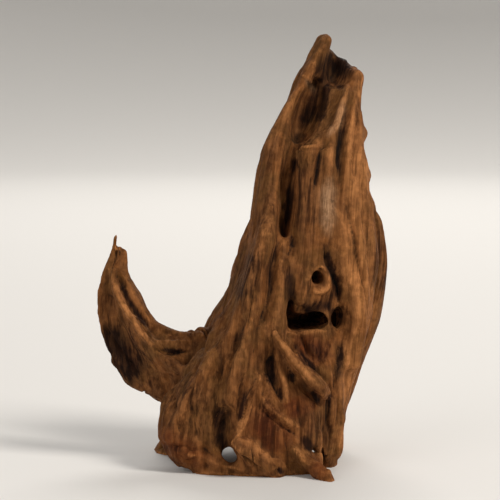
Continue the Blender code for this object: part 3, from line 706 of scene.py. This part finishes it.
def wood_relief(points, grain):
    """Height in millimetres of the flutes, ribs and fibres, which are folds drawn out along the
    fibres, of the knobs, which are not, and of the cracks at the bottom of some folds."""
    patches = smooth_step(*PATCH_NOISE, noise(points, *PATCHES))
    bend = np.stack([layered_noise(points, *settings) for settings in BENDS], -1)
    bent = grain + BEND_RANGE * (bend - 0.5)
    height = fold_height(bent, *FLUTES)
    height += fold_height(bent, *RIBS) * (RIB_LEAST + (1.0 - RIB_LEAST) * patches)
    height += fold_height(bent, *FIBRES)
    cracked = smooth_step(*CRACKED_NOISE, noise(grain + CRACKED_ALONG * points, *CRACKED))
    height -= CRACK_DEPTH * cracked * smooth_step(*CRACK_FOLD, folds(noise(bent, *CRACKS)))
    height += KNOB_RANGE * (layered_noise(points, *KNOBS) - 0.5)
    return height


def read_mesh(mesh):
    """A mesh's points in drawing millimetres, its normals and its edges."""
    count = len(mesh.vertices)
    points = np.empty(count * 3)
    mesh.vertices.foreach_get("co", points)
    normals = np.empty(count * 3)
    mesh.vertex_normals.foreach_get("vector", normals)
    edges = np.empty(len(mesh.edges) * 2, np.int64)
    mesh.edges.foreach_get("vertices", edges)
    points = points.reshape(-1, 3) / MM + DRAWN_FROM
    return points, normals.reshape(-1, 3), edges.reshape(-1, 2)


def write_points(mesh, points):
    """Puts a mesh's points where the drawing millimetres say."""
    mesh.vertices.foreach_set("co", ((points - DRAWN_FROM) * MM).ravel())
    mesh.update()


def new_object(name, data):
    """An object with that data, in the scene."""
    obj = bpy.data.objects.new(name, data)
    bpy.context.scene.collection.objects.link(obj)
    return obj


def apply_modifiers(obj):
    """Replaces the object's mesh by the one that its modifiers make of it."""
    graph = bpy.context.evaluated_depsgraph_get()
    mesh = bpy.data.meshes.new_from_object(obj.evaluated_get(graph))
    obj.modifiers.clear()
    obj.data = mesh


def thin_out(obj, triangles):
    """Collapses edges until about that many triangles are left."""
    count = sum(len(polygon.vertices) - 2 for polygon in obj.data.polygons)
    if count > triangles:
        thinned = obj.modifiers.new("thinned", "DECIMATE")
        thinned.use_collapse_triangulate = True
        thinned.ratio = triangles / count
        apply_modifiers(obj)


def fine_copy(node, name, cell):
    """A copy of the CAD node, its loose triangles joined, as a fine and even skin."""
    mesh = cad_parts[node].data.copy()
    joined = bmesh.new()
    joined.from_mesh(mesh)
    bmesh.ops.remove_doubles(joined, verts=joined.verts, dist=JOIN_DISTANCE)
    joined.to_mesh(mesh)
    joined.free()
    obj = new_object(name, mesh)
    remesh = obj.modifiers.new("even", "REMESH")
    remesh.mode = "VOXEL"
    remesh.voxel_size = cell
    apply_modifiers(obj)
    return obj


def carve(obj, strength):
    """Smooths the facets away and moves every point along its normal by the reliefs. Points on
    the floor stay there, and the move grows to its whole over the first few millimetres. It fades
    in holes, so that they stay open, and on thin tips, so that they stay whole."""
    points, _, edges = read_mesh(obj.data)
    on_floor = points[:, 2] < FLOOR_SNAP
    smooth = neighbour_mean(points, edges, FACET_ROUNDS)
    smooth[on_floor] = points[on_floor]
    write_points(obj.data, smooth)
    points, normals, edges = read_mesh(obj.data)
    normals = unit(neighbour_mean(normals, edges, NORMAL_ROUNDS))
    grid = grain_grid(points.min(0), points.max(0))
    grain = grain_at(grid, points)
    front = smooth_step(*CALM_TURN, -normals[:, 1])
    height = wood_relief(points, grain) * strength * (1.0 - FRONT_CALM * front)
    height += face_relief(points, normals, grain)
    crowded = crowding(points, normals)
    height *= smooth_step(*THIN_CROWDING, crowded) * (1.0 - smooth_step(*CALM_CROWDING, crowded))
    height *= smooth_step(FLOOR_SNAP, FOOT_RISE, points[:, 2])
    write_points(obj.data, points + normals * height[:, None])
    thin_out(obj, KEPT_TRIANGLES)
    obj.data.shade_smooth()
    return grid


def set_attribute(mesh, name, values):
    """Gives the mesh an attribute of one number or one vector for each point."""
    kind, field = ("FLOAT_VECTOR", "vector") if values.ndim == 2 else ("FLOAT", "value")
    layer = mesh.attributes.new(name, kind, "POINT")
    layer.data.foreach_set(field, values.astype(np.float32).ravel())


def outside_cells(filled):
    """The empty cells of a grid that its border reaches through other empty cells."""
    outside = np.ones(filled.shape, bool)
    outside[1:-1, 1:-1, 1:-1] = False
    count = 0
    while outside.sum() > count:
        count = outside.sum()
        for _ in range(FLOOD_STEPS):
            grown = outside.copy()
            for axis in range(3):
                after = np.moveaxis(grown, axis, 0)
                before = np.moveaxis(outside, axis, 0)
                after[1:] |= before[:-1]
                after[:-1] |= before[1:]
            outside = grown & ~filled
    return outside


def box_mean(values, half, axis):
    """Each value replaced by the mean of itself and that many neighbours on both sides."""
    edge = [(half + 1, half) if a == axis else (0, 0) for a in range(values.ndim)]
    total = np.cumsum(np.pad(values, edge), axis=axis)
    high = np.take(total, range(2 * half + 1, total.shape[axis]), axis)
    low = np.take(total, range(total.shape[axis] - 2 * half - 1), axis)
    return (high - low) / (2 * half + 1)


def crowding(points, normals):
    """The share of wood in the space in front of each point, about a half at the edge of a deep
    hollow and more inside it. The wood fills a grid of cells, which is blurred by three box means
    along every axis and read, between the cells' middles, a little way out along the normal."""
    start = points.min(0) - CROWD_CELL * CROWD_MARGIN
    size = np.ceil((points.max(0) - start) / CROWD_CELL).astype(int) + CROWD_MARGIN
    cell = np.floor((points - start) / CROWD_CELL).astype(int)
    filled = np.zeros(size, bool)
    filled[tuple(cell.T)] = True
    wood = (~outside_cells(filled)).astype(float)
    for axis in range(3):
        for _ in range(3):
            wood = box_mean(wood, CROWD_HALF, axis)
    place = (points + normals * CROWD_REACH - start) / CROWD_CELL - 0.5
    cell = np.floor(place).astype(np.int64)
    return blend_lattice(wood, cell, place - cell)


def record_looks(obj, grid):
    """Writes what the material reads: grain coordinates, how far a point stands out of (+) or lies
    under (-) its near and its wide surroundings in millimetres, how crowded it is, and the tints."""
    points, normals, edges = read_mesh(obj.data)
    grain = grain_at(grid, points)
    set_attribute(obj.data, "grain", grain)
    for name, rounds in (("near_height", NEAR_ROUNDS), ("wide_height", WIDE_ROUNDS)):
        mean = neighbour_mean(points, edges, rounds)
        set_attribute(obj.data, name, ((points - mean) * normals).sum(1))
    set_attribute(obj.data, "crowding", crowding(points, normals))
    for name, amount in face_tints(points, normals, grain).items():
        set_attribute(obj.data, name, amount)


def new_node(tree, kind, settings=None, inputs=None):
    """A shader node with its settings by name and its inputs, values or sockets to link, by name or
    number."""
    node = tree.nodes.new(kind)
    for key, value in (settings or {}).items():
        setattr(node, key, value)
    for key, value in (inputs or {}).items():
        if isinstance(value, bpy.types.NodeSocket):
            tree.links.new(value, node.inputs[key])
        else:
            node.inputs[key].default_value = value
    return node


def map_range(tree, value, low, high, to_low=0.0, to_high=1.0):
    """The value, led smoothly from to_low at low to to_high at high."""
    inputs = {"Value": value, "From Min": low, "From Max": high, "To Min": to_low, "To Max": to_high}
    settings = {"interpolation_type": "SMOOTHSTEP"}
    return new_node(tree, "ShaderNodeMapRange", settings, inputs).outputs["Result"]


def math_node(tree, operation, first, second):
    """The result of one operation on two values."""
    node = new_node(tree, "ShaderNodeMath", {"operation": operation}, {0: first, 1: second})
    return node.outputs["Value"]


def mix_colour(tree, blend, share, first, second):
    """The first colour with that share of the second one blended in."""
    settings = {"data_type": "RGBA", "blend_type": blend}
    inputs = {MIX_SHARE: share, MIX_FIRST: first, MIX_SECOND: second}
    return new_node(tree, "ShaderNodeMix", settings, inputs).outputs[MIX_RESULT]


def coated(tree, under, paint, amount, share):
    """The colour under a coat of paint that covers as much as the amount times the share."""
    return mix_colour(tree, "MIX", math_node(tree, "MULTIPLY", amount, share), under, (*paint, 1))


def shaded(tree, under, amount, shades):
    """The colour times a shade, which goes from the first to the second one with the amount."""
    shade = mix_colour(tree, "MIX", amount, (*shades[0], 1), (*shades[1], 1))
    return mix_colour(tree, "MULTIPLY", 1.0, under, shade)


def attribute(tree, name, output="Fac"):
    """An attribute that record_looks wrote."""
    return new_node(tree, "ShaderNodeAttribute", {"attribute_name": name}).outputs[output]


def fibre_group():
    """Streaks along the fibres: a layered noise of the grain coordinates with its contrast set."""
    group = bpy.data.node_groups.new("fibre streaks", "ShaderNodeTree")
    group.interface.new_socket("Grain", in_out="INPUT", socket_type="NodeSocketVector")
    for name in ("Per mm", "Low", "High"):
        group.interface.new_socket(name, in_out="INPUT", socket_type="NodeSocketFloat")
    group.interface.new_socket("Streaks", in_out="OUTPUT", socket_type="NodeSocketFloat")
    entry = group.nodes.new("NodeGroupInput").outputs
    inputs = {"Vector": entry["Grain"], "Scale": entry["Per mm"], **STREAK_NOISE}
    texture = new_node(group, "ShaderNodeTexNoise", None, inputs)
    contrast = map_range(group, texture.outputs["Fac"], entry["Low"], entry["High"])
    group.links.new(contrast, group.nodes.new("NodeGroupOutput").inputs["Streaks"])
    return group


def streaks(tree, group, grain, size, low, high):
    """One use of the streak group, its size in millimetres across the fibres."""
    inputs = {"Grain": grain, "Per mm": 1.0 / size, "Low": low, "High": high}
    return new_node(tree, "ShaderNodeGroup", {"node_tree": group}, inputs).outputs["Streaks"]


def blotches(tree, size, low, high):
    """Soft round blotches of about that size in millimetres, from 0 to 1."""
    place = tree.nodes.new("ShaderNodeTexCoord").outputs["Object"]
    inputs = {"Vector": place, "Scale": 1.0 / (size * MM), **BLOTCH_NOISE}
    texture = new_node(tree, "ShaderNodeTexNoise", None, inputs)
    return map_range(tree, texture.outputs["Fac"], low, high)


def new_material(name):
    """A material and its shader."""
    material = bpy.data.materials.new(name)
    material.use_nodes = True
    return material, material.node_tree.nodes["Principled BSDF"]


def wood_material(look):
    """Brown fibrous wood: streaked along the grain, tinted where the drawings say, with painted shade
    where they draw dark and painted highlights where they draw warm, painted shade in every dip and
    hollow, and rubbed paler on ridges."""
    material, shader = new_material("yati wood")
    tree = material.node_tree
    group = fibre_group()
    grain = attribute(tree, "grain", "Vector")
    near = attribute(tree, "near_height")
    broad = streaks(tree, group, grain, *BROAD_STREAKS)
    middle = streaks(tree, group, grain, *MIDDLE_STREAKS)
    fine = streaks(tree, group, grain, *FINE_STREAKS)
    hair = streaks(tree, group, grain, *HAIR_STREAKS)

    colour = mix_colour(tree, "MIX", broad, (*look.deep, 1), (*look.body, 1))
    colour = coated(tree, colour, look.worn_and_highlight, middle, WORN_SHARE)
    colour = coated(tree, colour, look.olive, blotches(tree, *PATCH_BLOTCHES), OLIVE_SHARE)
    # The warm tint paints the wood's orange together with painted highlights
    for tint, paint, varied_by, shares in (
        ("red", look.red, broad, RED_SHARES),
        ("warm", look.worn_and_highlight, middle, WARM_AND_HIGHLIGHT_SHARES),
        ("pale", look.pale, fine, PALE_SHARES),
    ):
        share = map_range(tree, varied_by, 0, 1, *shares)
        colour = coated(tree, colour, paint, attribute(tree, tint), share)
    rubbed = map_range(tree, near, *RUBBED_HEIGHTS)
    colour = coated(tree, colour, look.worn_and_highlight, rubbed, map_range(tree, fine, 0, 1, *RUBBED_SHARES))
    colour = shaded(tree, colour, fine, FINE_SHADES)
    colour = shaded(tree, colour, blotches(tree, *SPOT_BLOTCHES), SPOT_SHADES)
    # Painted shade: dips, wide hollows and crowded places get the near black hollow colour
    colour = coated(tree, colour, look.hollow, map_range(tree, near, *DIP_SHADE_HEIGHTS), DIP_SHADE_SHARE)
    hollow = map_range(tree, attribute(tree, "wide_height"), *HOLLOW_SHADE_HEIGHTS, 0, HOLLOW_SHADE_SHARE)
    crowded = map_range(tree, attribute(tree, "crowding"), *SHADE_CROWDING, 0, CROWDED_SHADE_SHARE)
    colour = coated(tree, colour, look.hollow, math_node(tree, "MAXIMUM", hollow, crowded), 1.0)
    # Painted shade where the dark tint is drawn, its edge roughened by the streaks
    shift = map_range(tree, middle, 0, 1, *PAINTED_SHADE_SHIFTS)
    dark = math_node(tree, "ADD", attribute(tree, "dark"), shift)
    colour = shaded(tree, colour, map_range(tree, dark, *PAINTED_SHADE_TINTS), PAINTED_SHADE_COLOURS)
    tree.links.new(colour, shader.inputs["Base Color"])

    tree.links.new(map_range(tree, middle, 0, 1, *WOOD_ROUGHNESS), shader.inputs["Roughness"])
    shader.inputs["Specular IOR Level"].default_value = WOOD_SPECULAR

    fine_height = math_node(tree, "MULTIPLY", fine, FINE_RELIEF)
    hair_height = math_node(tree, "MULTIPLY", hair, HAIR_RELIEF)
    height = math_node(tree, "ADD", fine_height, hair_height)
    inputs = {"Strength": 1.0, "Distance": look.fibre_height, "Height": height}
    bump = new_node(tree, "ShaderNodeBump", None, inputs)
    tree.links.new(bump.outputs["Normal"], shader.inputs["Normal"])
    return material


def floor_bowl(flat_radius, rise_radius):
    """A floor round the origin that turns up far away: flat within the flat radius, and beyond it
    part of a circle, r - sqrt(r^2 - s^2) high, with s the way past the flat."""
    angles = np.linspace(0.0, 2.0 * math.pi, BOWL_SIDES, endpoint=False)
    past = rise_radius * np.sin(np.linspace(0.0, math.radians(BOWL_RISE), BOWL_RINGS))
    radii = np.concatenate([[flat_radius / 2], flat_radius + past])
    heights = np.concatenate([[0.0], rise_radius - np.sqrt(rise_radius**2 - past**2)])
    across = radii[:, None] * np.cos(angles)
    away = radii[:, None] * np.sin(angles)
    up = np.repeat(heights[:, None], BOWL_SIDES, 1)
    rings = np.stack([across, away, up], -1).reshape(-1, 3)
    low = np.arange(len(radii) - 1)[:, None] * BOWL_SIDES
    a = low + np.arange(BOWL_SIDES)
    b = low + (np.arange(BOWL_SIDES) + 1) % BOWL_SIDES
    faces = np.stack([a, b, b + BOWL_SIDES, a + BOWL_SIDES], -1)[..., ::-1].reshape(-1, 4)
    middle = tuple(range(BOWL_SIDES))
    mesh = bpy.data.meshes.new("floor")
    mesh.from_pydata(rings.tolist(), [], [middle, *map(tuple, faces.tolist())])
    mesh.shade_smooth()
    return new_object("floor", mesh)


def soft_light(name, place, size, power, colour):
    """A square light of that size at a place, turned towards the wood."""
    data = bpy.data.lights.new(name, "AREA")
    data.size = size
    data.energy = power
    data.color = colour
    lamp = new_object(name, data)
    lamp.location = place
    aim = Vector((0.0, 0.0, CAD_BOX[1][2] / 2)) - lamp.location
    lamp.rotation_euler = aim.to_track_quat("-Z", "Y").to_euler()


def photo_camera(fill):
    """A camera at the photograph's eye, aimed at the middle of the wood. Its view there is as wide
    as the wood's height divided by fill."""
    eye = Vector((EYE - DRAWN_FROM) * MM)
    middle = (CAD_BOX[0] + CAD_BOX[1]) / 2
    data = bpy.data.cameras.new("camera")
    camera = new_object("camera", data)
    camera.location = eye
    camera.rotation_euler = (middle - eye).to_track_quat("-Z", "Y").to_euler()
    width = (CAD_BOX[1][2] - CAD_BOX[0][2]) / fill
    data.lens = data.sensor_width * (middle - eye).length / width
    data.clip_start = CLIP_START
    bpy.context.scene.camera = camera


class WoodShape(bpy.types.PropertyGroup):
    """Sizes of the carved wood."""

    cell: bpy.props.FloatProperty(
        name="Cell", description="Spacing of the carved skin's points", default=0.00072, unit="LENGTH"
    )
    strength: bpy.props.FloatProperty(
        name="Relief", description="Strength of flutes and cracks", default=1.0, subtype="FACTOR"
    )


def colour_property(name, description, default):
    """A colour that the panel shows."""
    return bpy.props.FloatVectorProperty(
        name=name, description=description, default=default, subtype="COLOR", size=3, min=0.0, max=1.0
    )


class WoodLook(bpy.types.PropertyGroup):
    """Colours of the wood and height of its fibres."""

    body: colour_property("Body", "Sound brown wood", (0.186, 0.066, 0.0165))
    deep: colour_property("Deep", "Darker streaks", (0.082, 0.028, 0.007))
    # Worn colour, for rubbed ridges and streaks, and for the painted highlights of the warm tint
    worn_and_highlight: colour_property("Worn", "Ridges that are rubbed pale", (0.48, 0.196, 0.062))
    pale: colour_property("Pale", "Weathered grey-brown ridge", (0.43, 0.25, 0.135))
    red: colour_property("Red", "Reddish skirt and recess", (0.158, 0.038, 0.007))
    olive: colour_property("Olive", "Patches of a duller brown", (0.128, 0.058, 0.014))
    # Hollow colour: the near black of the painted shade in dips, hollows and crowded places
    hollow: colour_property("Hollow", "Cracks and hollows", (0.012, 0.006, 0.003))
    fibre_height: bpy.props.FloatProperty(
        name="Fibre height", description="Height of the finest fibres", default=0.0003, unit="LENGTH"
    )


class StageLook(bpy.types.PropertyGroup):
    """Floor, light and camera."""

    floor: colour_property("Floor", "Colour of the floor", (0.72, 0.7, 0.67))
    power: bpy.props.FloatProperty(name="Power", description="Main light", default=56.0, unit="POWER")
    fill: bpy.props.FloatProperty(
        name="Fill", description="The wood's share of the height", default=0.86, subtype="FACTOR"
    )


class YATI_OT_wood(bpy.types.Operator):
    """Carve and colour the wood"""

    bl_idname = "yati.wood"
    bl_label = "Carve wood"

    def execute(self, context):
        shape = context.scene.yati_shape
        wood = fine_copy(NODE, "carved_wood", shape.cell)
        grid = carve(wood, shape.strength)
        record_looks(wood, grid)
        wood.data.materials.clear()
        wood.data.materials.append(wood_material(context.scene.yati_look))
        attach(wood, "root")
        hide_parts(NODE)
        return {"FINISHED"}


class YATI_OT_stage(bpy.types.Operator):
    """Set the floor, the lights and the camera"""

    bl_idname = "yati.stage"
    bl_label = "Set stage"

    def execute(self, context):
        stage = context.scene.yati_stage
        floor = floor_bowl(BOWL_FLAT, BOWL_TURN)
        material, shader = new_material("floor")
        shader.inputs["Base Color"].default_value = (*stage.floor, 1)
        shader.inputs["Roughness"].default_value = FLOOR_ROUGHNESS
        floor.data.materials.append(material)
        for name, place, size, share, colour in LIGHTS:
            soft_light(name, place, size, stage.power * share, colour)
        world = bpy.data.worlds.new("studio")
        world.use_nodes = True
        background = world.node_tree.nodes["Background"]
        background.inputs["Color"].default_value = WORLD_COLOUR
        background.inputs["Strength"].default_value = WORLD_LIGHT
        context.scene.world = world
        photo_camera(stage.fill)
        context.scene.view_settings.view_transform = "Standard"
        return {"FINISHED"}


class YATI_PT_panel(bpy.types.Panel):
    """The wood's sizes and colours, and the buttons that make it"""

    bl_idname = "YATI_PT_panel"
    bl_label = "Yati wood"
    bl_space_type = "VIEW_3D"
    bl_region_type = "UI"
    bl_category = "Wood"

    def draw(self, context):
        for group in SETTINGS:
            settings = getattr(context.scene, group)
            for name in settings.__annotations__:
                self.layout.prop(settings, name)
        self.layout.operator(YATI_OT_wood.bl_idname)
        self.layout.operator(YATI_OT_stage.bl_idname)


SETTINGS = {"yati_shape": WoodShape, "yati_look": WoodLook, "yati_stage": StageLook}
CLASSES = (*SETTINGS.values(), YATI_OT_wood, YATI_OT_stage, YATI_PT_panel)


def register():
    for item in CLASSES:
        bpy.utils.register_class(item)
    for name, group in SETTINGS.items():
        setattr(bpy.types.Scene, name, bpy.props.PointerProperty(type=group))


def unregister():
    for name in SETTINGS:
        delattr(bpy.types.Scene, name)
    for item in reversed(CLASSES):
        bpy.utils.unregister_class(item)


def main():
    register()
    bpy.ops.yati.wood()
    bpy.ops.yati.stage()


if __name__ == "__main__":
    main()
